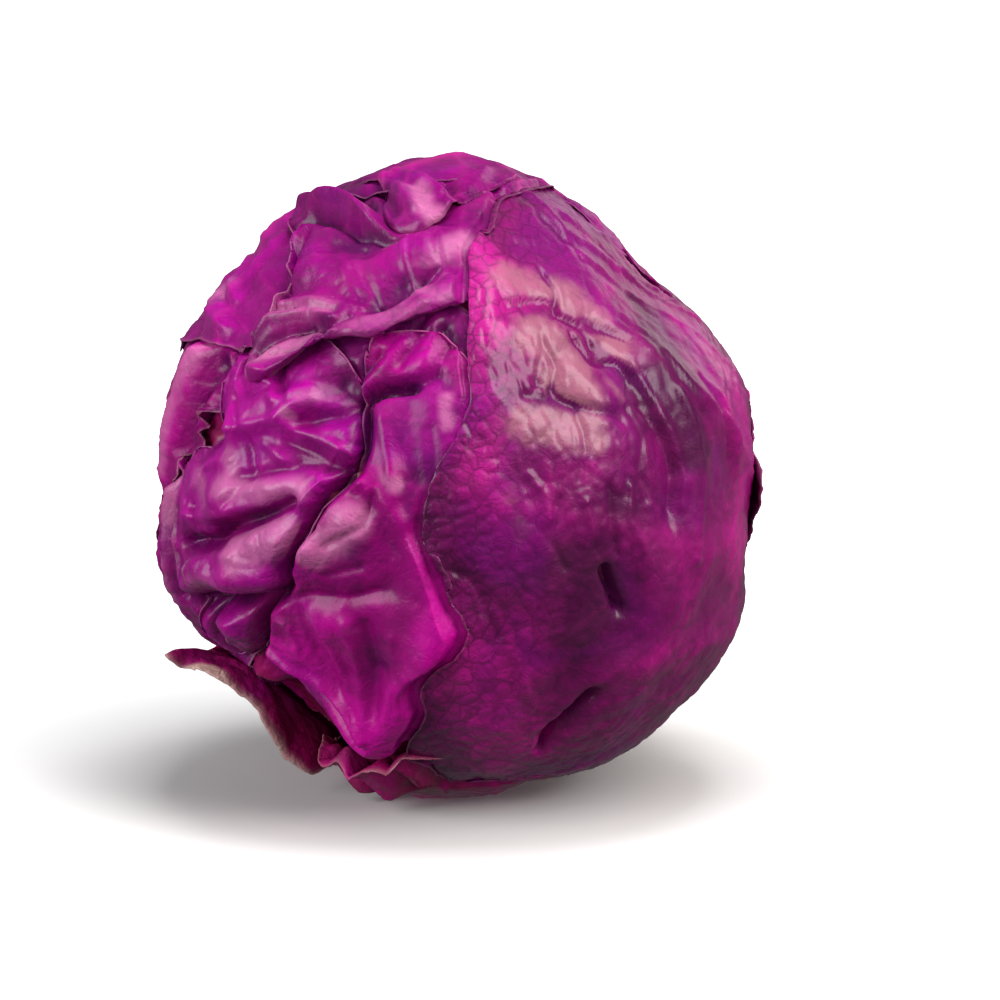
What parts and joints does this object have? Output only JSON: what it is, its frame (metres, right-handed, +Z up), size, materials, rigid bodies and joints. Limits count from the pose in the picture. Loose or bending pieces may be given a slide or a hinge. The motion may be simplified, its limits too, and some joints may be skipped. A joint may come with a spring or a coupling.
{
  "type": "red cabbage head",
  "caption": "Round red cabbage head lying on its side, with smooth wrapper leaves, crumpled leaf margins at the crown, a torn lower leaf and a cut stalk.",
  "frame": {"origin": "middle of the small flat spot that the head lies on", "axes": "+Z up, -Y towards the front where the crown's loose leaf margins face, +X to the right; the stalk points to the rear right and slightly down"},
  "size_m": [0.155, 0.153, 0.1579],
  "materials": {
    "outer_leaf": "waxy satin leaf, dark red purple",
    "rib_leaf": "waxy satin leaf, bright magenta over its thick ribs",
    "inner_leaf": "satin leaf, deep violet",
    "stalk": "matt, freshly cut, pale cream"
  },
  "bodies": {
    "root": {"inner_head": "inner_leaf", "left_leaf": "outer_leaf", "rib_leaf": "rib_leaf", "crown_leaf": "outer_leaf", "fan_leaf": "rib_leaf", "shoulder_leaf": "outer_leaf", "brow_leaf": "outer_leaf", "torn_leaf": "outer_leaf", "underside_leaf": "outer_leaf", "right_leaf": "outer_leaf", "top_leaf": "outer_leaf", "rear_stub_leaf": "outer_leaf", "right_stub_leaf": "outer_leaf", "stalk": "stalk"}
  },
  "joints": []
}
